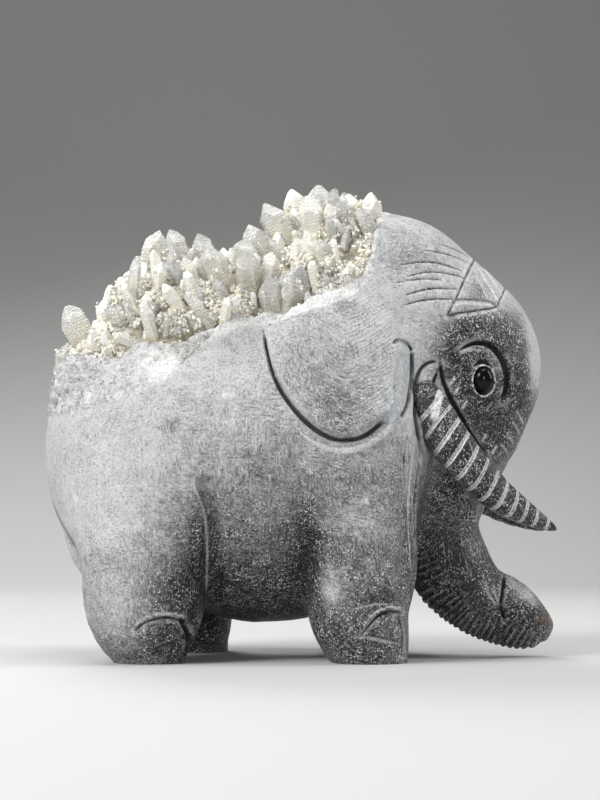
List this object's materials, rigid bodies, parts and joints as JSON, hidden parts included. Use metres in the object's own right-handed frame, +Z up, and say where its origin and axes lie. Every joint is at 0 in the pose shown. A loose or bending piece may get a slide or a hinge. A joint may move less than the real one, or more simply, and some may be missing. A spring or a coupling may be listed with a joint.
{
  "type": "carved stone elephant sculpture",
  "caption": "Small elephant carved from a stone and quartz crystal specimen, with natural crystal points left standing along its back, striped tusks, a curled trunk and black glass bead eyes.",
  "frame": {"origin": "on the floor under the middle of the object's bounding box", "axes": "+X is the way the elephant looks, -Y is its right side, +Z is up"},
  "size_m": [0.1716, 0.0918, 0.1599],
  "materials": {
    "stone": "ground and half polished grey stone, pale with tool marks on the back and flanks, dark on the face, tusks, trunk and feet",
    "quartz": "natural quartz points, clear to milky with a beige crust at the foot",
    "eye_glass": "polished black glass"
  },
  "bodies": {
    "root": {"elephant": "stone", "eye_right": "eye_glass", "eye_left": "eye_glass"}
  },
  "joints": []
}
